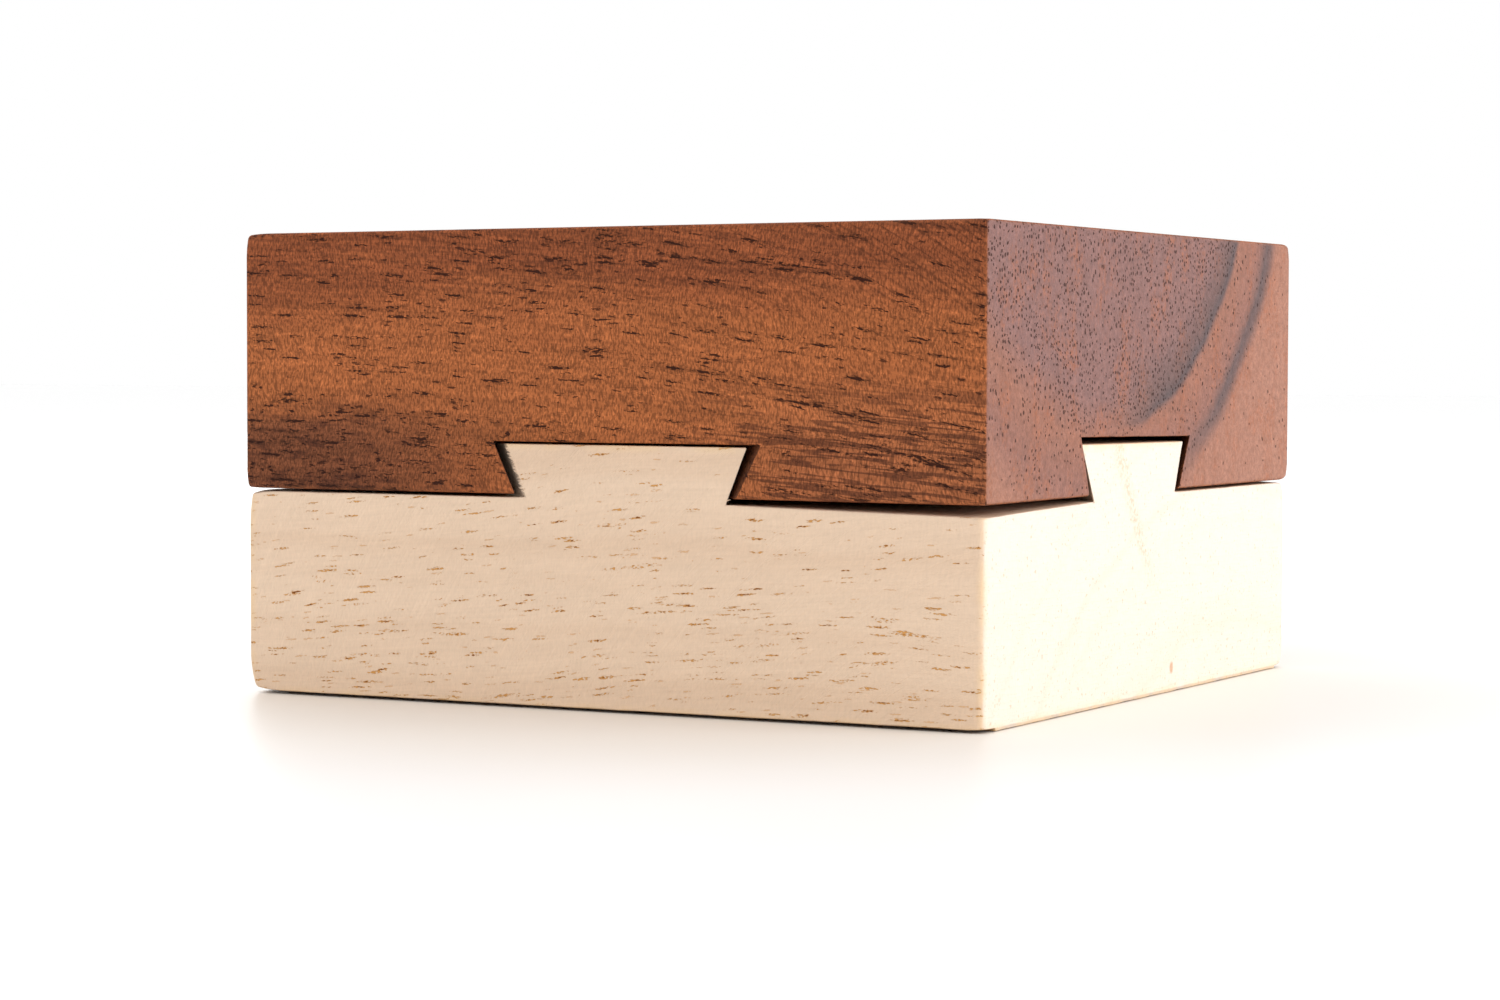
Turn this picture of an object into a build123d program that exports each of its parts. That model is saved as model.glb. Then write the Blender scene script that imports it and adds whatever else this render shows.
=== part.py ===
from build123d import *
import math
import os

# A puzzle box cut from two solid blocks of wood: a pale base and a dark lid.
# Two dovetail tails stand on the base and run straight along one diagonal of the box, so that each
# of the four sides shows the end of a dovetail. The lid slides off along that diagonal, and two
# loose steel pins lock it.
# The frame is +Z up, with the origin at the middle of the base's underside. Sizes are millimetres.

# Outer sizes
box_height = 50.8
lid_side = 89.0
base_side = 88.4
base_left_excess = 0.3

# Softened edges
lid_corner_radius = 0.4
lid_edge_radius = 0.4
base_corner_radius = 0.8

# Shallow rebate under the base's rim on all but its right side, and the fall of the lid's top
# towards its left side
foot_rebate_width = 3.0
foot_rebate_depth = 0.3
lid_top_fall = 0.35

# Heights of the mating faces
shoulder_height = 22.3
channel_floor = 22.0
left_tail_top = 27.95
right_tail_top_inner = 28.1
right_tail_top_outer = 27.9
lid_underside = 22.6
left_ceiling = 28.15
right_ceiling_inner = 28.85
right_ceiling_outer = 28.4

# Flanks of the dovetails, measured square to the slide from the box's diagonal, at the foot and at
# the head. They are cut by hand, so no two flanks lean or fit quite alike.
left_tail_foot = (-37.4, -20.4)
left_tail_head = (-39.1, -18.65)
right_tail_foot = (19.9, 36.7)
right_tail_head = (17.5, 38.4)
left_socket_foot = (-38.3, -19.8)
left_socket_head = (-40.2, -17.8)
right_socket_foot = (18.9, 37.1)
right_socket_head = (17.25, 39.35)

# Worn relief of the channel at the base corner that the slide points to
relief_reach = 19.5
relief_depth = 0.65

# Round compartment, bored into both blocks
compartment_diameter = 32.0
base_compartment_floor = 5.0
lid_compartment_roof = 44.8

# Lock pins and their bores, on the diagonal of the slide
pin_diameter = 5.0
pin_chamfer = 0.4
pin_bore_diameter = 5.12
pin_distance = 31.0
pin_travel = 5.5
pin_end_gap = 0.1
lid_pin_length = 20.0
lid_pin_bottom = 23.8
base_pin_length = 17.0
base_pin_bottom = 4.2

# The slide runs along +X -Y. A sketch across it has its X square to the slide and its Y upward.
across_slide = Plane(origin=(0, 0, 0), x_dir=(1, 1, 0), z_dir=(1, -1, 0))
along_slide = Plane(origin=(0, 0, 0), x_dir=(1, -1, 0), z_dir=(-1, -1, 0))
corner_distance = base_side / math.sqrt(2)
overrun = 1.0
standing_width = base_side - 2 * foot_rebate_width
standing_length = base_side - foot_rebate_width + overrun
pin_offset = pin_distance / math.sqrt(2)
lid_pin_place = (pin_offset, -pin_offset)
base_pin_place = (-pin_offset, pin_offset)


# What is cut from the base's top: all that stands above its shoulders, tails and channel
clear_height = right_tail_top_inner + overrun
base_waste = [
    (-lid_side, shoulder_height),
    (left_tail_foot[0], shoulder_height),
    (left_tail_head[0], left_tail_top),
    (left_tail_head[1], left_tail_top),
    (left_tail_foot[1], channel_floor),
    (right_tail_foot[0], channel_floor),
    (right_tail_head[0], right_tail_top_inner),
    (right_tail_head[1], right_tail_top_outer),
    (right_tail_foot[1], shoulder_height),
    (lid_side, shoulder_height),
    (lid_side, clear_height),
    (-lid_side, clear_height),
]

# Worn relief, drawn along the slide
relief_waste = [
    (corner_distance - relief_reach, channel_floor),
    (corner_distance + overrun, channel_floor - relief_depth),
    (corner_distance + overrun, channel_floor + overrun),
    (corner_distance - relief_reach, channel_floor + overrun),
]

# What is cut from the lid's top to let it fall a little to the left
top_waste = [
    (-lid_side / 2, box_height - lid_top_fall),
    (lid_side / 2, box_height),
    (lid_side / 2, box_height + overrun),
    (-lid_side / 2, box_height + overrun),
]

# Sockets cut into the lid's underside
below_lid = lid_underside - overrun
left_socket = [
    (left_socket_foot[0], below_lid),
    (left_socket_foot[0], lid_underside),
    (left_socket_head[0], left_ceiling),
    (left_socket_head[1], left_ceiling),
    (left_socket_foot[1], lid_underside),
    (left_socket_foot[1], below_lid),
]
right_socket = [
    (right_socket_foot[0], below_lid),
    (right_socket_foot[0], lid_underside),
    (right_socket_head[0], right_ceiling_inner),
    (right_socket_head[1], right_ceiling_outer),
    (right_socket_foot[1], lid_underside),
    (right_socket_foot[1], below_lid),
]

# Pale base with both tails in one piece with it
with BuildPart() as base_block:
    with Locations((-base_left_excess / 2, 0, 0)):
        Box(
            base_side + base_left_excess,
            base_side,
            right_tail_top_inner,
            align=(Align.CENTER, Align.CENTER, Align.MIN),
        )
    fillet(base_block.edges().filter_by(Axis.Z), radius=base_corner_radius)
    with BuildSketch():
        Rectangle(base_side + overrun, base_side + overrun)
        with Locations(((foot_rebate_width + overrun) / 2, 0)):
            Rectangle(standing_length, standing_width, mode=Mode.SUBTRACT)
    extrude(amount=foot_rebate_depth, mode=Mode.SUBTRACT)
    with BuildSketch(across_slide):
        with BuildLine():
            Polyline(*base_waste, close=True)
        make_face()
    extrude(amount=lid_side, both=True, mode=Mode.SUBTRACT)
    with BuildSketch(along_slide):
        with BuildLine():
            Polyline(*relief_waste, close=True)
        make_face()
    extrude(amount=relief_reach, both=True, mode=Mode.SUBTRACT)
    with Locations((0, 0, channel_floor)):
        Hole(compartment_diameter / 2, depth=channel_floor - base_compartment_floor)
    with Locations((*base_pin_place, channel_floor)):
        Hole(pin_bore_diameter / 2, depth=channel_floor - base_pin_bottom + pin_end_gap)
    with Locations((*lid_pin_place, channel_floor)):
        locked_bottom = lid_pin_bottom - pin_travel - pin_end_gap
        Hole(pin_bore_diameter / 2, depth=channel_floor - locked_bottom)

# Dark lid with the matching sockets
with BuildPart() as lid_block:
    with Locations((0, 0, lid_underside)):
        Box(
            lid_side,
            lid_side,
            box_height - lid_underside,
            align=(Align.CENTER, Align.CENTER, Align.MIN),
        )
    with BuildSketch(Plane.XZ):
        with BuildLine():
            Polyline(*top_waste, close=True)
        make_face()
    extrude(amount=lid_side, both=True, mode=Mode.SUBTRACT)
    fillet(lid_block.edges().filter_by(Axis.Z), radius=lid_corner_radius)
    fillet(lid_block.faces().sort_by(Axis.Z)[-1].edges(), radius=lid_edge_radius)
    fillet(lid_block.faces().sort_by(Axis.Z)[0].edges(), radius=lid_edge_radius)
    with BuildSketch(across_slide):
        for points in (left_socket, right_socket):
            with BuildLine():
                Polyline(*points, close=True)
            make_face()
    extrude(amount=lid_side, both=True, mode=Mode.SUBTRACT)
    with Locations(Location((0, 0, lid_underside), (180, 0, 0))):
        Hole(compartment_diameter / 2, depth=lid_compartment_roof - lid_underside)
    with Locations(Location((*lid_pin_place, lid_underside), (180, 0, 0))):
        bore_top = lid_pin_bottom + lid_pin_length + pin_end_gap
        Hole(pin_bore_diameter / 2, depth=bore_top - lid_underside)
    with Locations(Location((*base_pin_place, lid_underside), (180, 0, 0))):
        locked_top = base_pin_bottom + base_pin_length + pin_travel + pin_end_gap
        Hole(pin_bore_diameter / 2, depth=locked_top - lid_underside)

# Loose lock pins, both drawn back into their own blocks
with BuildPart(Plane(origin=(*lid_pin_place, lid_pin_bottom))) as lid_lock_pin:
    Cylinder(
        pin_diameter / 2,
        lid_pin_length,
        align=(Align.CENTER, Align.CENTER, Align.MIN),
    )
    chamfer(lid_lock_pin.edges().filter_by(GeomType.CIRCLE), length=pin_chamfer)

with BuildPart(Plane(origin=(*base_pin_place, base_pin_bottom))) as base_lock_pin:
    Cylinder(
        pin_diameter / 2,
        base_pin_length,
        align=(Align.CENTER, Align.CENTER, Align.MIN),
    )
    chamfer(base_lock_pin.edges().filter_by(GeomType.CIRCLE), length=pin_chamfer)

base_block.part.label = "base_block"
lid_block.part.label = "lid_block"
lid_lock_pin.part.label = "lid_lock_pin"
base_lock_pin.part.label = "base_lock_pin"

os.makedirs("parts", exist_ok=True)
export_step(base_block.part, "parts/base_block.step")
export_step(lid_block.part, "parts/lid_block.step")
export_step(lid_lock_pin.part, "parts/lid_lock_pin.step")
export_step(base_lock_pin.part, "parts/base_lock_pin.step")
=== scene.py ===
import bmesh
import bpy
from math import radians
from random import Random
from mathutils import Matrix, Vector, noise


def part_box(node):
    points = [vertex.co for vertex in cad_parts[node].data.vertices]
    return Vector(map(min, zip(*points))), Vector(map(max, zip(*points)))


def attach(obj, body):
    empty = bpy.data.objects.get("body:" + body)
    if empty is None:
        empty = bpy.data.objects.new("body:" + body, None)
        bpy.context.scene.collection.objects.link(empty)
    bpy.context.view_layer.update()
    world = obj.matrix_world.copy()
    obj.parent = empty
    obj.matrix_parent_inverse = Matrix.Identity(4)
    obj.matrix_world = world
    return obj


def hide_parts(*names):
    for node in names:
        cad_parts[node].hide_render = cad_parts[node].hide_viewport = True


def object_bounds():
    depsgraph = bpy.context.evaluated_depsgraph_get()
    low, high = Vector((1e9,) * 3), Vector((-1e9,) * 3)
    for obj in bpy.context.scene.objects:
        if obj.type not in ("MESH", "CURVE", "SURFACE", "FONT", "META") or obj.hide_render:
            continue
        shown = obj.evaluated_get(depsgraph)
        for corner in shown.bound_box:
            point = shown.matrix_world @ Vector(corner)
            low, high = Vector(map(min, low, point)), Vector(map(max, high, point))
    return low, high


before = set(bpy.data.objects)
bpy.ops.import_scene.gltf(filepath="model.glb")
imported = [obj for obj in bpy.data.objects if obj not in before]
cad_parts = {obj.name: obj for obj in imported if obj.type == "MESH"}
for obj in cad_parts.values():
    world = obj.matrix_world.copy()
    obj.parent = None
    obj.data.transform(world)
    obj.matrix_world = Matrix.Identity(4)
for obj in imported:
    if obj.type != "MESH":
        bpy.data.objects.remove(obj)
cad_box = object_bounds()

# Lengths are millimetres of the object's own frame, except the lights', which are metres. Angles
# are degrees.
MM = 0.001

# Camera. It aims at a place near the middle of the box.
CAMERA_AZIMUTH = 27.88
CAMERA_ELEVATION = 2.34
CAMERA_ROLL = 0.18
CAMERA_DISTANCE = 405.7
CAMERA_LENS = 84.47
CAMERA_AIM = Vector((-4.1, -2.25, -4.75))

# The trunk's axis runs along X in both blocks; these are its centre and the slope of the fibres.
LID_HEART = (0.0, -14.0, 78.0)
LID_GRAIN_SLOPE = 0.0975
LID_GRAIN_CURVE = 0.00104
BASE_HEART = (0.0, 25.0, -60.0)
BASE_GRAIN_SLOPE = -0.07
BASE_GRAIN_CURVE = 0.0003
KNOT = (44.0, 6.9, 2.7)

# Hand-sanded edges
SHARP_ANGLE = 35
FLAT_ANGLE = 1
WELD_DISTANCE = 0.001
EDGE_STEP = 1.2
EDGE_WAVER = 0.1
WAVER_LENGTH = 4.0
EDGE_ROUNDING = 0.15
ROUNDING_SEGMENTS = 3

# Corners rubbed down by handling: which sides of the block meet there (-1 low, 1 high), the reach
# of the wear, and how far the corner has given way. The base's upper corners are at its shoulders.
# The block is first cut at these distances from the corner, so that it can bend there.
SHOULDER_HEIGHT = 22.3
CORNER_CUTS = (0.5, 1.1, 1.9, 2.9, 4.0)
WORN_CORNERS = {
    "lid_block": [
        ((-1, -1, 1), 3.0, Vector((0.3, 0.2, -0.3))),
        ((-1, -1, -1), 2.5, Vector((0.15, 0.2, 0.1))),
        ((1, 1, -1), 2.5, Vector((-0.2, -0.25, 0.3))),
        ((1, 1, 1), 2.5, Vector((-0.2, -0.2, -0.2))),
        ((-1, 1, 1), 3.0, Vector((0.3, -0.2, -0.3))),
        ((1, -1, 1), 1.5, Vector((-0.1, 0.1, -0.12))),
    ],
    "base_block": [
        ((-1, -1, 1), 4.0, Vector((0.3, 0.2, -0.45))),
        ((-1, -1, -1), 5.0, Vector((0.8, 0.3, 0.5))),
        ((1, -1, -1), 2.5, Vector((-0.2, 0.2, 0.2))),
        ((1, 1, 1), 3.0, Vector((-0.2, -0.3, -0.3))),
        ((1, 1, -1), 3.0, Vector((-0.3, -0.3, 0.3))),
        ((-1, 1, 1), 3.0, Vector((0.3, -0.3, -0.2))),
    ],
}

# The left edge of the front tail, where fibres stand out, and the splinter at its right foot
FIBRE_SEED = 7
FIBRE_COUNT = 60
TAIL_EDGE_TOP = Vector((-10.9, -44.1, 27.7))
TAIL_EDGE_FOOT = Vector((-8.6, -44.1, 22.5))
SPLINTER_ROOT = Vector((15.2, -44.1, 22.42))
SPLINTER_TIP = Vector((15.9, -44.2, 22.6))
SPLINTER_RADIUS = 0.12

# The flanks of the dovetails lie outside the round compartment and inside the outer faces.
COMPARTMENT_EDGE = 16.3
OUTER_FACE_EDGE = 43.3

# Painted warm contact shadow: the floor is a little darker near the box and white from here on.
FLOOR_HALF_SIDE = 3000.0
FLOOR_SHADOW_FULL = 60.0
FLOOR_SHADOW_END = 118.0


def srgb(red, green, blue):
    """Scene-linear colour from the usual 0 to 255 values."""
    shares = [value / 255 for value in (red, green, blue)]
    linear = [s / 12.92 if s <= 0.04045 else ((s + 0.055) / 1.055) ** 2.4 for s in shares]
    return (*linear, 1.0)


def grey(value):
    return (value, value, value, 1.0)


class Shader:
    """Builds one material's nodes. A socket or a plain value can feed any input."""

    def __init__(self, name):
        self.material = bpy.data.materials.new(name)
        self.material.use_nodes = True
        self.tree = self.material.node_tree
        self.surface = self.tree.nodes["Principled BSDF"]
        coordinates = self.tree.nodes.new("ShaderNodeTexCoord").outputs
        self.place = self.scale(coordinates["Object"], 1 / MM)
        self.normal = coordinates["Normal"]

    def node(self, kind, *values, **settings):
        made = self.tree.nodes.new("ShaderNode" + kind)
        for key, setting in settings.items():
            setattr(made, key, setting)
        for socket, value in zip(made.inputs, values):
            self.put(socket, value)
        return made

    def put(self, socket, value):
        if isinstance(value, bpy.types.NodeSocket):
            self.tree.links.new(value, socket)
        elif value is not None:
            socket.default_value = value

    def math(self, operation, *values):
        return self.node("Math", *values, operation=operation).outputs[0]

    def add(self, *values):
        total = values[0]
        for value in values[1:]:
            total = self.math("ADD", total, value)
        return total

    def times(self, *values):
        product = values[0]
        for value in values[1:]:
            product = self.math("MULTIPLY", product, value)
        return product

    def most(self, *values):
        largest = values[0]
        for value in values[1:]:
            largest = self.math("MAXIMUM", largest, value)
        return largest

    def opposite(self, value):
        """1 where the value is 0, and 0 where it is 1."""
        return self.math("SUBTRACT", 1.0, value)

    def between(self, value, low, high):
        """A 0 to 1 value stretched to run from low to high."""
        return self.math("MULTIPLY_ADD", value, high - low, low)

    def step(self, value, low, high):
        """Smooth rise from 0 at low to 1 at high, or a fall if high is below low."""
        if low > high:
            return self.opposite(self.step(value, high, low))
        made = self.node("MapRange", value, low, high, interpolation_type="SMOOTHSTEP")
        return made.outputs[0]

    def vector(self, operation, *values):
        made = self.node("VectorMath", *values, operation=operation)
        return made.outputs["Value" if operation == "LENGTH" else "Vector"]

    def scale(self, vector, amount):
        made = self.node("VectorMath", vector, operation="SCALE")
        self.put(made.inputs["Scale"], amount)
        return made.outputs["Vector"]

    def split(self, vector):
        return self.node("SeparateXYZ", vector).outputs

    def join(self, x, y, z):
        return self.node("CombineXYZ", x, y, z).outputs[0]

    def facing(self, axis):
        """1 on faces that look along the axis, X being 0 and Y being 1, either way."""
        return self.step(self.math("ABSOLUTE", self.split(self.normal)[axis]), 0.6, 0.9)

    def mix(self, factor, first, second, blend="MIX"):
        made = self.tree.nodes.new("ShaderNodeMix")
        made.data_type = "RGBA"
        made.blend_type = blend
        self.put(made.inputs["Factor"], factor)
        self.put(made.inputs[6], first)
        self.put(made.inputs[7], second)
        return made.outputs[2]

    def noise(self, vector, size, detail=2.0, roughness=0.5, output="Fac"):
        """Noise whose cells measure about size along X, Y and Z."""
        made = self.tree.nodes.new("ShaderNodeTexNoise")
        self.put(made.inputs["Vector"], self.vector("DIVIDE", vector, size))
        made.inputs["Scale"].default_value = 1.0
        made.inputs["Detail"].default_value = detail
        made.inputs["Roughness"].default_value = roughness
        return made.outputs[output]

    def ramp(self, value, stops):
        made = self.node("ValToRGB", value)
        elements = made.color_ramp.elements
        while len(elements) < len(stops):
            elements.new(1.0)
        for element, (position, colour) in zip(elements, stops):
            element.position = position
            element.color = colour
        return made.outputs["Color"]

    def vessels(self, grain, size, widest, ragged, density, across=False):
        """Cut vessels, 1 inside and 0 outside: spindles along X, or round ends seen along X.

        size is the room that each vessel has along X, Y and Z, widest the largest share of it
        that a vessel's radius fills, and density the share of vessels that are there at all.
        """
        rooms = self.vector("DIVIDE", grain, size)
        cells = self.tree.nodes.new("ShaderNodeTexVoronoi")
        if across:
            x, y, z = self.split(rooms)
            cells.voronoi_dimensions = "2D"
            rooms = self.join(self.add(y, self.times(self.math("SIGN", x), 100.0)), z, 0.0)
        self.put(cells.inputs["Vector"], rooms)
        cells.inputs["Scale"].default_value = 1.0
        chance, girth, _ = self.node("SeparateColor", cells.outputs["Color"]).outputs
        radius = self.times(self.between(girth, 0.45, 1.0), widest)
        radius = self.add(radius, self.between(ragged, -0.6 * widest, 0.6 * widest))
        inside = self.math("SUBTRACT", radius, cells.outputs["Distance"])
        present = self.math("LESS_THAN", chance, density)
        return self.times(self.step(inside, -0.1 * widest, 0.35 * widest), present)

    def finish(self, colour, roughness, height, depth, gloss):
        """Feed the surface. depth is the relief in millimetres for a height of 1."""
        relief = self.tree.nodes.new("ShaderNodeBump")
        relief.inputs["Distance"].default_value = depth * MM
        self.put(relief.inputs["Height"], height)
        self.put(self.surface.inputs["Base Color"], colour)
        self.put(self.surface.inputs["Roughness"], roughness)
        self.put(self.surface.inputs["Normal"], relief.outputs["Normal"])
        self.surface.inputs["Specular IOR Level"].default_value = gloss
        return self.material


def fibre_places(s, slope, curve, sway_size, sway):
    """The place swayed as the fibres wander, and the same with the fibres' slope taken out."""
    wander = s.noise(s.place, sway_size, output="Color")
    wander = s.scale(s.vector("SUBTRACT", wander, (0.5, 0.5, 0.5)), sway)
    swayed = s.vector("ADD", s.place, wander)
    x = s.split(s.place)[0]
    climb = s.add(s.times(x, slope), s.times(x, x, curve))
    return swayed, s.vector("ADD", swayed, s.join(0.0, 0.0, climb))


def ring_radius(s, swayed, heart):
    """Distance from the trunk's axis."""
    spoke = s.vector("MULTIPLY", s.vector("SUBTRACT", swayed, heart), (0.0, 1.0, 1.0))
    return s.vector("LENGTH", spoke)


def arc_marks(s, centre, spacing, length):
    """Fine curved scratches, as a disc leaves on upright faces: arcs about a centre in XZ."""
    arm = s.vector("MULTIPLY", s.vector("SUBTRACT", s.place, centre), (1.0, 0.0, 1.0))
    reach = s.vector("LENGTH", arm)
    turned = s.math("ARCTAN2", s.split(arm)[0], s.split(arm)[2])
    along = s.times(turned, abs(centre[2]))
    y = s.split(s.place)[1]
    return s.noise(s.join(reach, along, y), (spacing, length, 4.0))


def edge_nearness(s, low, high, reach):
    """1 on the block's outer edges, falling to 0 at reach from them."""
    x, y, z = s.split(s.place)
    from_x = s.math("SUBTRACT", high.x, s.math("ABSOLUTE", x))
    from_y = s.math("SUBTRACT", high.y, s.math("ABSOLUTE", y))
    from_z = s.math("MINIMUM", s.math("SUBTRACT", z, low.z), s.math("SUBTRACT", high.z, z))
    nearer = s.math("MINIMUM", from_x, from_y)
    farther = s.math("MAXIMUM", from_x, from_y)
    second = s.math("MAXIMUM", nearer, s.math("MINIMUM", farther, from_z))
    return s.step(second, reach, 0.0)


def joint_flank_shade(s):
    """1 on the leaning walls of the dovetails, which face along the box's other diagonal; the wood
    gets painted shade there.
    """
    x, y, _ = s.split(s.place)
    facing_x, facing_y, _ = s.split(s.normal)
    diagonal = s.step(s.math("ABSOLUTE", s.times(facing_x, facing_y)), 0.2, 0.35)
    from_middle = s.vector("LENGTH", s.join(x, y, 0.0))
    off_middle = s.step(from_middle, COMPARTMENT_EDGE, COMPARTMENT_EDGE + 0.7)
    inward = s.math("MINIMUM", s.math("ABSOLUTE", x), s.math("ABSOLUTE", y))
    return s.times(diagonal, off_middle, s.step(inward, OUTER_FACE_EDGE, OUTER_FACE_EDGE - 0.5))


def block_box(node):
    """The low and high corners of a CAD block."""
    low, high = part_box(node)
    return Vector(low) / MM, Vector(high) / MM


def dark_wood():
    """Reddish-brown heartwood: broken dark vessels, fine ray ticks and two dark growth rings."""
    s = Shader("dark_wood")
    low, high = block_box("lid_block")
    x, y, z = s.split(s.place)
    end_grain = s.facing(0)
    long_grain = s.opposite(end_grain)
    front = s.facing(1)
    swayed, grain = fibre_places(s, LID_GRAIN_SLOPE, LID_GRAIN_CURVE, (50.0, 14.0, 14.0), 4.0)

    # Colour by distance from the heart, with two dark rings that fade out towards the front
    ring_span = 80.0
    radius = ring_radius(s, swayed, LID_HEART)
    share = s.times(radius, 1 / ring_span)
    cloud = s.noise(grain, (26.0, 5.0, 5.0), detail=4.0, roughness=0.6)
    long_share = s.times(s.add(radius, s.between(cloud, -5.0, 5.0)), 1 / ring_span)
    long_colours = s.ramp(long_share, [
        (0.34, srgb(145, 80, 47)),
        (0.545, srgb(141, 77, 45)),
        (0.61, srgb(162, 93, 53)),
        (0.70, srgb(164, 95, 54)),
        (0.80, srgb(158, 90, 51)),
        (1.00, srgb(145, 82, 48)),
    ])
    # The end grain's mauve-grey colours are partly its own colour and partly a painted sheen, the
    # white surroundings seen on it at a grazing view
    end_colours_and_sheen = s.ramp(share, [
        (0.34, srgb(124, 93, 89)),
        (0.56, srgb(125, 94, 90)),
        (0.625, srgb(140, 97, 82)),
        (0.69, srgb(133, 95, 85)),
        (0.76, srgb(152, 108, 91)),
        (1.00, srgb(156, 113, 96)),
    ])
    rings = s.ramp(share, [
        (0.53, grey(0.0)),
        (0.59, grey(0.7)),
        (0.608, grey(1.0)),
        (0.619, grey(0.0)),
        (0.688, grey(0.0)),
        (0.715, grey(0.9)),
        (0.728, grey(0.8)),
        (0.75, grey(0.0)),
    ])
    rings = s.times(rings, s.step(y, -14.0, 4.0))
    rings = s.times(rings, s.most(s.step(radius, 54.0, 52.0), s.step(z, 20.0, 34.0)))
    patches = s.step(s.noise(swayed, (20.0, 3.5, 8.0), detail=4.0, roughness=0.6), 0.46, 0.66)
    grit = s.step(s.noise(s.place, (0.6, 0.6, 0.6), detail=1.0), 0.4, 0.65)
    warm = s.times(s.between(patches, 0.1, 0.65), s.between(grit, 0.3, 1.0))
    end_colours_and_sheen = s.mix(warm, end_colours_and_sheen, srgb(150, 93, 68))
    end_colours_and_sheen = s.mix(s.times(rings, 0.92), end_colours_and_sheen, srgb(80, 72, 75))
    long_colours = s.mix(s.times(rings, 0.7), long_colours, srgb(88, 56, 42))
    stain_height = s.add(z, s.between(cloud, -6.0, 6.0))
    stain = s.times(s.step(x, -2.0, -34.0), s.step(stain_height, 35.0, 27.0))
    long_colours = s.mix(s.times(stain, 0.7), long_colours, srgb(88, 52, 38))
    dusk = s.times(s.step(x, 8.0, 30.0), s.step(z, 38.0, 26.0))
    long_colours = s.mix(s.times(dusk, 0.4), long_colours, srgb(154, 94, 64))
    colour = s.mix(end_grain, long_colours, end_colours_and_sheen)

    # Streaks, fibres, the short upright ticks of the rays, and curved saw marks
    streaks = s.noise(grain, (22.0, 1.0, 0.8), detail=4.0, roughness=0.65)
    fibres = s.noise(grain, (5.0, 0.24, 0.24), detail=2.0)
    mottle = s.noise(swayed, (6.0, 4.0, 3.0), detail=2.0)
    ticks = s.step(s.noise(swayed, (0.18, 0.2, 0.5), detail=1.0), 0.42, 0.62)
    sparks = s.step(s.noise(swayed, (0.22, 0.2, 0.4), detail=1.0), 0.52, 0.7)
    arcs = s.step(arc_marks(s, (-34.0, 0.0, -72.0), 0.34, 20.0), 0.52, 0.6)
    sawn = s.times(s.step(z, 36.0, 46.0), s.step(x, 2.0, 26.0), front)
    tone = s.times(
        s.between(streaks, 0.55, 1.45),
        s.between(fibres, 0.82, 1.18),
        s.between(mottle, 0.9, 1.1),
        s.between(s.times(ticks, s.between(end_grain, 1.0, 0.35)), 1.13, 0.62),
        s.between(s.times(sparks, long_grain), 1.0, 1.35),
        s.between(s.times(arcs, sawn), 1.04, 0.72),
    )
    colour = s.scale(colour, tone)

    # Painted shade on the flanks of the sockets, which lie deep in the joint's gaps
    colour = s.scale(colour, s.between(joint_flank_shade(s), 1.0, 0.3))

    # Broad soft streaks along the top and low on the right, and dark blots in the stain
    top_band = s.times(s.step(z, 39.0, 46.0), 0.38)
    lower_right = s.times(s.step(x, 4.0, 22.0), s.step(z, 38.0, 29.0))
    streaky = s.most(top_band, lower_right)
    flatter = s.vector("ADD", s.place, s.join(0.0, 0.0, s.times(x, 0.085)))
    bands = s.step(s.noise(flatter, (4.5, 0.75, 0.42), detail=1.5, roughness=0.4), 0.54, 0.62)
    long_bands = s.step(s.noise(flatter, (14.0, 0.9, 0.4), detail=1.0, roughness=0.4), 0.57, 0.63)
    bands = s.times(s.most(bands, long_bands), s.between(streaky, 0.0, 0.85), long_grain)
    blots = s.step(s.noise(grain, (3.4, 1.0, 0.8), detail=2.0), 0.5, 0.68)
    bands = s.most(bands, s.times(blots, stain, long_grain, 0.75))
    colour = s.mix(bands, colour, s.mix(0.75, colour, srgb(66, 34, 24)))

    # Vessels. Long ones run as broken chains, short ones crowd in clusters.
    ragged = s.step(s.noise(grain, (0.5, 0.15, 0.15), detail=1.5), 0.25, 0.75)
    gaps = s.step(s.noise(grain, (3.6, 0.8, 0.8), detail=2.5), 0.4, 0.52)
    crowd = s.step(s.noise(grain, (20.0, 3.5, 3.5), detail=2.0), 0.38, 0.64)
    heartwood = s.step(y, 26.0, 6.0)
    density = s.add(s.between(crowd, 0.25, 0.8), s.times(stain, 0.5))
    density = s.times(density, s.between(heartwood, 0.2, 1.0))
    chain_room = (20.0, 0.62, 0.8)
    chains = s.vessels(grain, chain_room, 0.25, ragged, s.between(streaky, 0.12, 0.95))
    specks = s.vessels(grain, (1.3, 0.9, 0.9), 0.26, ragged, s.times(stain, 0.6))
    room = (4.4, 0.52, 0.5)
    coarse = s.vessels(grain, room, 0.3, ragged, s.times(density, 0.85))
    fine = s.vessels(grain, (2.2, 0.48, 0.48), 0.27, ragged, s.times(density, 0.75))
    dashes = s.most(s.times(chains, gaps), coarse, s.times(fine, 0.8), specks)
    halo = s.vessels(grain, room, 0.65, ragged, s.times(density, 0.4))
    shadow = s.vessels(grain, chain_room, 0.42, ragged, s.between(streaky, 0.05, 0.8))
    halo = s.most(halo, s.times(shadow, s.between(gaps, 0.5, 1.0)))
    colour = s.scale(colour, s.between(s.times(halo, long_grain), 1.0, 0.66))

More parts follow.
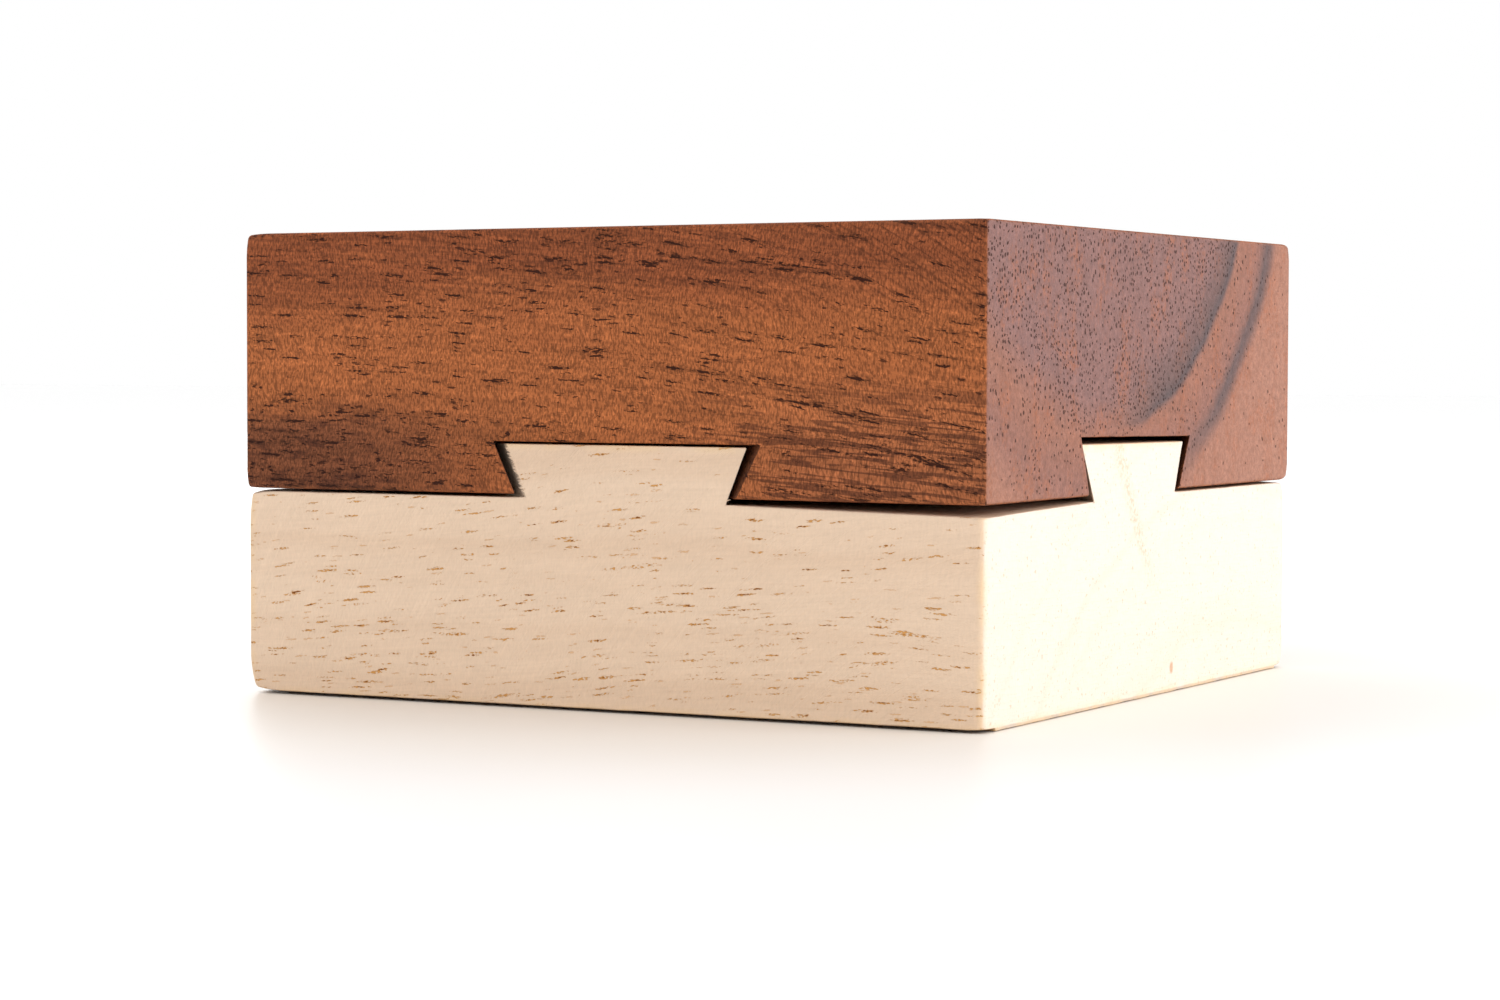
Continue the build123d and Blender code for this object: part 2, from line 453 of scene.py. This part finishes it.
    # Their cut ends, close together inside the first dark ring and few outside it
    ragged_end = s.noise(s.place, (0.3, 0.3, 0.3), detail=1.0)
    end_crowd = s.step(s.noise(swayed, (9.0, 6.0, 6.0), detail=2.0), 0.36, 0.58)
    inside = s.step(radius, 50.5, 48.0)
    end_share = s.between(s.step(radius, 60.0, 57.0), 0.04, 0.25)
    end_share = s.add(end_share, s.times(inside, s.between(end_crowd, 0.1, 0.5)))
    dots = s.vessels(swayed, (1.0, 0.62, 0.64), 0.34, ragged_end, end_share, across=True)
    dark = s.most(s.times(dashes, long_grain), s.times(dots, end_grain, 0.9))
    colour = s.mix(s.times(dark, 0.94), colour, srgb(48, 17, 7))

    # Dust in the end grain, and rubbed edges
    dust = s.vessels(s.place, (0.9, 1.3, 1.3), 0.1, ragged, 0.25)
    colour = s.mix(s.times(dust, end_grain, 0.5), colour, srgb(214, 178, 150))
    rub_patches = s.step(s.noise(swayed, (3.0, 3.0, 3.0)), 0.35, 0.6)
    rub = s.times(edge_nearness(s, low, high, 0.5), rub_patches)
    colour = s.mix(s.times(rub, 0.3), colour, srgb(166, 102, 66))

    height = s.add(
        s.times(dark, -1.0),
        s.times(fibres, 0.3),
        s.times(ticks, -0.12),
        s.times(arcs, -0.15),
    )
    roughness = s.between(s.noise(swayed, (6.0, 3.0, 3.0)), 0.5, 0.7)
    return s.finish(colour, roughness, height, depth=0.1, gloss=0.12)


def pale_wood():
    """Cream sapwood with broken tan vessels and a fine, faint cross-hatch."""
    s = Shader("pale_wood")
    low, high = block_box("base_block")
    x, y, z = s.split(s.place)
    end_grain = s.facing(0)
    long_grain = s.opposite(end_grain)
    swayed, grain = fibre_places(s, BASE_GRAIN_SLOPE, BASE_GRAIN_CURVE, (40.0, 12.0, 12.0), 4.0)

    radius = ring_radius(s, swayed, BASE_HEART)
    rings = s.noise(s.join(0.0, 0.0, radius), (1.0, 1.0, 3.5), detail=2.0)
    colour = s.mix(s.step(rings, 0.4, 0.7), srgb(234, 207, 181), srgb(228, 199, 172))
    # The end grain is painted near white: its own faint rings under a painted highlight from the
    # strong light on the right
    end_rings = s.step(s.noise(s.join(0.0, 0.0, radius), (1.0, 1.0, 5.0), detail=3.0), 0.5, 0.75)
    end_colour_and_highlight = s.mix(end_rings, srgb(236, 225, 212), srgb(231, 213, 194))
    colour = s.mix(s.times(end_grain, 0.9), colour, end_colour_and_highlight)

    streaks = s.noise(grain, (26.0, 1.1, 1.1), detail=3.0, roughness=0.55)
    fibres = s.noise(grain, (5.0, 0.26, 0.26))
    ticks = s.noise(swayed, (0.2, 0.22, 0.8), detail=1.5)
    mottle = s.noise(swayed, (7.0, 4.0, 4.0), detail=3.0)
    arcs = s.step(arc_marks(s, (60.0, 0.0, -35.0), 0.26, 7.0), 0.4, 0.7)
    scored = s.step(s.noise(swayed, (18.0, 9.0, 9.0)), 0.35, 0.6)
    scored = s.times(scored, s.between(s.step(x, 22.0, -16.0), 0.45, 1.0))
    tone = s.times(
        s.between(streaks, 0.96, 1.04),
        s.between(fibres, 0.94, 1.06),
        s.between(ticks, 0.93, 1.07),
        s.between(mottle, 0.96, 1.04),
        s.between(s.times(arcs, scored, long_grain), 0.99, 1.04),
    )
    colour = s.scale(colour, tone)

    # Vessels. Long ones run as broken chains with a dark thread inside.
    ragged = s.step(s.noise(grain, (0.36, 0.13, 0.13), detail=1.5), 0.3, 0.7)
    gaps = s.step(s.noise(grain, (2.0, 0.7, 0.7), detail=2.0), 0.44, 0.56)
    thread = s.step(s.noise(grain, (0.6, 0.4, 0.4), detail=2.0), 0.42, 0.55)
    crowd = s.step(s.noise(grain, (20.0, 5.0, 5.0), detail=2.0), 0.38, 0.62)
    low_down = s.step(z, 22.0, 7.0)
    density = s.add(s.between(crowd, 0.35, 0.75), s.times(low_down, 0.25))
    room = (4.6, 0.55, 0.5)
    chain_room = (16.0, 0.7, 0.8)
    chain_share = s.between(s.times(low_down, s.step(x, -20.0, 10.0)), 0.25, 0.95)
    short = s.vessels(grain, room, 0.24, ragged, density)
    chains = s.times(s.vessels(grain, chain_room, 0.2, ragged, chain_share), gaps)
    core = s.vessels(grain, room, 0.14, ragged, s.times(density, 0.85))
    chain_core = s.times(s.vessels(grain, chain_room, 0.1, ragged, chain_share), gaps)
    faint = s.vessels(grain, (3.4, 0.5, 0.5), 0.2, ragged, s.times(density, 0.7))
    tan = s.most(short, chains, s.times(faint, 0.5))
    tan = s.times(tan, s.between(end_grain, 1.0, 0.2))
    core = s.times(s.most(core, chain_core), thread, s.between(end_grain, 1.0, 0.2))
    dots = s.vessels(swayed, (1.0, 0.9, 0.85), 0.22, ragged, s.between(crowd, 0.06, 0.3), across=True)
    colour = s.mix(s.times(tan, 0.9), colour, srgb(210, 146, 66))
    colour = s.mix(s.times(core, 0.95), colour, srgb(118, 60, 20))
    colour = s.mix(s.times(dots, end_grain, 0.4), colour, srgb(196, 152, 106))

    # On the end grain, a faint tinted vein that leans and a small brown knot below it
    vein_waver = s.between(s.noise(swayed, (4.0, 4.0, 6.0)), -1.5, 1.5)
    from_vein = s.math("ABSOLUTE", s.add(y, s.times(z, 0.68), vein_waver, -9.4))
    vein = s.times(s.step(from_vein, 2.6, 0.0), s.step(z, 8.0, 19.0))
    speckle = s.step(s.noise(s.place, (0.45, 0.45, 0.45), detail=2.0), 0.35, 0.7)
    colour = s.mix(s.times(vein, speckle, end_grain, 0.55), colour, srgb(222, 170, 128))
    to_knot = s.vector("MULTIPLY", s.vector("SUBTRACT", s.place, KNOT), (0.0, 1.0, 0.8))
    knot = s.times(s.step(s.vector("LENGTH", to_knot), 0.7, 0.3), end_grain)
    colour = s.mix(s.times(knot, 0.6), colour, srgb(190, 124, 66))

    # Painted contact shadow along the foot, lighter on the end grain that the right light reaches,
    # and painted shade on the flanks in the joint
    foot_shadow_waver = s.between(s.noise(swayed, (3.0, 3.0, 3.0)), -0.1, 0.1)
    foot_shadow = s.step(s.add(z, foot_shadow_waver), 0.5, 0.3)
    colour = s.mix(s.times(foot_shadow, s.between(end_grain, 0.8, 0.35)), colour, srgb(112, 70, 38))
    flank_shade = s.times(joint_flank_shade(s), s.step(z, SHOULDER_HEIGHT - 0.4, SHOULDER_HEIGHT))
    colour = s.scale(colour, s.between(flank_shade, 1.0, 0.65))

    rub_patches = s.step(s.noise(swayed, (4.0, 4.0, 4.0)), 0.3, 0.6)
    rub = s.times(edge_nearness(s, low, high, 1.2), rub_patches)
    colour = s.mix(s.times(rub, 0.4), colour, srgb(246, 208, 150))

    height = s.add(
        s.times(tan, -0.7),
        s.times(fibres, 0.3),
        s.times(arcs, 0.35),
        s.times(ticks, 0.2),
    )
    roughness = s.between(s.noise(swayed, (6.0, 3.0, 3.0)), 0.52, 0.7)
    return s.finish(colour, roughness, height, depth=0.07, gloss=0.2)


def pin_steel():
    """Drawn steel rod: fine lines along its length, faint handling marks."""
    s = Shader("pin_steel")
    lines = s.noise(s.place, (0.05, 0.05, 6.0), detail=3.0)
    marks = s.noise(s.place, (1.5, 1.5, 2.5), detail=3.0)
    colour = s.mix(s.step(marks, 0.45, 0.7), srgb(196, 196, 198), srgb(160, 158, 156))
    colour = s.scale(colour, s.between(lines, 0.9, 1.1))
    s.surface.inputs["Metallic"].default_value = 1.0
    roughness = s.add(s.between(lines, 0.2, 0.34), s.times(marks, 0.1))
    return s.finish(colour, roughness, lines, depth=0.01, gloss=0.5)


def wear(node, material):
    """Put the material on a CAD node."""
    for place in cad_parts[node].material_slots:
        place.material = material


def sharp_edges(block):
    """Edges whose two faces turn by more than the sharp angle."""
    return [edge for edge in block.edges if edge.calc_face_angle(0.0) > radians(SHARP_ANGLE)]


def join_flat_faces(block):
    bmesh.ops.dissolve_limit(
        block,
        angle_limit=radians(FLAT_ANGLE),
        verts=block.verts,
        edges=block.edges,
    )


def rub_corners(block, node):
    """Cut the block finely near its worn corners, and pull the corners in."""
    low, high = block_box(node)
    if node == "base_block":
        high.z = SHOULDER_HEIGHT
    for sides, reach, give in WORN_CORNERS[node]:
        corner = Vector([high[i] if side > 0 else low[i] for i, side in enumerate(sides)])
        for axis, side in enumerate(sides):
            for cut in CORNER_CUTS[1:] if axis == 2 else CORNER_CUTS:
                place, across = corner.copy(), Vector((0.0, 0.0, 0.0))
                place[axis] -= side * cut
                across[axis] = 1.0
                bmesh.ops.bisect_plane(
                    block,
                    geom=block.verts[:] + block.edges[:] + block.faces[:],
                    dist=WELD_DISTANCE * MM,
                    plane_co=place * MM,
                    plane_no=across,
                )
        for vertex in block.verts:
            away = vertex.co / MM - corner
            shares = [max(0.0, 1.0 - abs(value) / reach) ** 2 for value in away]
            vertex.co += give * MM * shares[0] * shares[1] * shares[2]


def worn_block(node, body, material):
    """The CAD block with its sharp edges eased and made a little uneven, as by hand sanding."""
    block = bmesh.new()
    block.from_mesh(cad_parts[node].data)
    bmesh.ops.remove_doubles(block, verts=block.verts, dist=WELD_DISTANCE * MM)
    join_flat_faces(block)
    for edge in sharp_edges(block):
        cuts = int(edge.calc_length() / (EDGE_STEP * MM))
        if cuts:
            bmesh.ops.subdivide_edges(block, edges=[edge], cuts=cuts)
    rub_corners(block, node)
    block.normal_update()
    edges = sharp_edges(block)
    for vertex in {vertex for edge in edges for vertex in edge.verts}:
        place = vertex.co / MM
        share = 0.5 + 0.5 * noise.fractal(place / WAVER_LENGTH, 1.0, 2.0, 3)
        vertex.co -= vertex.normal * max(share, 0.0) * EDGE_WAVER * MM
    bmesh.ops.bevel(
        block,
        geom=edges,
        offset=EDGE_ROUNDING * MM,
        segments=ROUNDING_SEGMENTS,
        profile=0.5,
        affect="EDGES",
        clamp_overlap=False,
    )
    join_flat_faces(block)
    low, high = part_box(node)
    for vertex in block.verts:
        bounded = zip(vertex.co, low, high)
        vertex.co = [min(max(value, least), most) for value, least, most in bounded]
    mesh = bpy.data.meshes.new("worn_" + node)
    block.to_mesh(mesh)
    block.free()
    mesh.shade_smooth()
    mesh.set_sharp_from_angle(angle=radians(SHARP_ANGLE))
    mesh.materials.clear()
    mesh.materials.append(material)
    piece = bpy.data.objects.new("worn_" + node, mesh)
    bpy.context.collection.objects.link(piece)
    flatten = piece.modifiers.new("flat_faces_stay_flat", "WEIGHTED_NORMAL")
    flatten.keep_sharp = True
    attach(piece, body)
    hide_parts(node)
    return piece


def spike(root, tip, radius):
    """A slender three-sided cone: its vertices and its faces."""
    side = (tip - root).orthogonal().normalized() * radius
    turn = Matrix.Rotation(radians(120), 3, tip - root)
    ring = [side, turn @ side, turn @ turn @ side]
    return [root + spoke for spoke in ring] + [tip], [(0, 1, 3), (1, 2, 3), (2, 0, 3), (0, 2, 1)]


def stray_fibres(material):
    """Fibres torn loose along the front tail's left edge, and a splinter at its right foot."""
    chance = Random(FIBRE_SEED)
    spikes = [spike(SPLINTER_ROOT, SPLINTER_TIP, SPLINTER_RADIUS)]
    for _ in range(FIBRE_COUNT):
        root = TAIL_EDGE_TOP.lerp(TAIL_EDGE_FOOT, chance.uniform(0.04, 0.97))
        left = chance.uniform(0.3, 0.7)
        back = chance.uniform(-0.1, 0.1)
        up = chance.uniform(-0.2, 0.3)
        tip = root + Vector((-left, back, up))
        spikes.append(spike(root, tip, chance.uniform(0.05, 0.09)))
    vertices, faces = [], []
    for places, sides in spikes:
        faces += [[len(vertices) + index for index in side] for side in sides]
        vertices += [place * MM for place in places]
    mesh = bpy.data.meshes.new("stray_fibres")
    mesh.from_pydata(vertices, [], faces)
    mesh.materials.append(material)
    piece = bpy.data.objects.new("stray_fibres", mesh)
    bpy.context.collection.objects.link(piece)
    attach(piece, "base")
    return piece


def pale_floor():
    """A large pale board under the object, with a painted warm contact shadow near the box."""
    half = FLOOR_HALF_SIDE * MM
    corners = [(-half, -half, 0), (half, -half, 0), (half, half, 0), (-half, half, 0)]
    mesh = bpy.data.meshes.new("floor")
    mesh.from_pydata(corners, [], [(0, 1, 2, 3)])
    floor = bpy.data.objects.new("floor", mesh)
    bpy.context.collection.objects.link(floor)
    s = Shader("floor")
    # Painted contact shadow: warm grey near the box, fading to white
    past_shadow = s.step(s.vector("LENGTH", s.place), FLOOR_SHADOW_FULL, FLOOR_SHADOW_END)
    s.put(s.surface.inputs["Base Color"], s.mix(past_shadow, srgb(241, 238, 233), srgb(254, 254, 254)))
    s.surface.inputs["Roughness"].default_value = 0.4
    s.surface.inputs["Specular IOR Level"].default_value = 0.6
    mesh.materials.append(s.material)


def area_light(name, direction, distance, size, power, colour):
    """A square soft light that faces the middle of the box."""
    light = bpy.data.lights.new(name, "AREA")
    light.size = size
    light.energy = power
    light.color = colour
    lamp = bpy.data.objects.new(name, light)
    bpy.context.collection.objects.link(lamp)
    towards = Vector(direction).normalized()
    lamp.location = towards * distance
    lamp.rotation_euler = towards.to_track_quat("Z", "Y").to_euler()


def studio():
    """White surroundings and three soft lights, the strongest from the right."""
    world = bpy.data.worlds.new("studio")
    world.use_nodes = True
    background = world.node_tree.nodes["Background"]
    background.inputs["Color"].default_value = grey(1.0)
    background.inputs["Strength"].default_value = 1.0
    bpy.context.scene.world = world
    bpy.context.scene.view_settings.view_transform = "Standard"
    area_light("key", (1.0, 0.22, 0.35), 0.9, 0.5, 3.9, (1.0, 0.98, 0.97))
    area_light("overhead", (-0.1, 0.1, 1.0), 1.6, 1.6, 1.2, (1.0, 1.0, 1.0))
    area_light("back_fill", (-1.0, 0.9, 0.5), 1.2, 0.9, 2.5, (1.0, 1.0, 1.0))


def camera():
    """A long lens, low and a little to the right of the front."""
    low, high = (Vector(corner) for corner in cad_box)
    aim = (low + high) / 2 + CAMERA_AIM * MM
    turn = Matrix.Rotation(radians(CAMERA_AZIMUTH), 4, "Z")
    turn = turn @ Matrix.Rotation(radians(90 - CAMERA_ELEVATION), 4, "X")
    back = turn @ Vector((0.0, 0.0, CAMERA_DISTANCE * MM))
    turn = turn @ Matrix.Rotation(radians(CAMERA_ROLL), 4, "Z")
    lens = bpy.data.cameras.new("camera")
    lens.lens = CAMERA_LENS
    lens.sensor_width = 36.0
    lens.clip_start = 0.01
    eye = bpy.data.objects.new("camera", lens)
    bpy.context.collection.objects.link(eye)
    eye.matrix_world = Matrix.Translation(aim + back) @ turn
    bpy.context.scene.camera = eye


pale = pale_wood()
base = worn_block("base_block", "base", pale)
stray_fibres(pale)
lid = worn_block("lid_block", "lid", dark_wood())
steel = pin_steel()
wear("lid_lock_pin", steel)
wear("base_lock_pin", steel)
pale_floor()
studio()
camera()
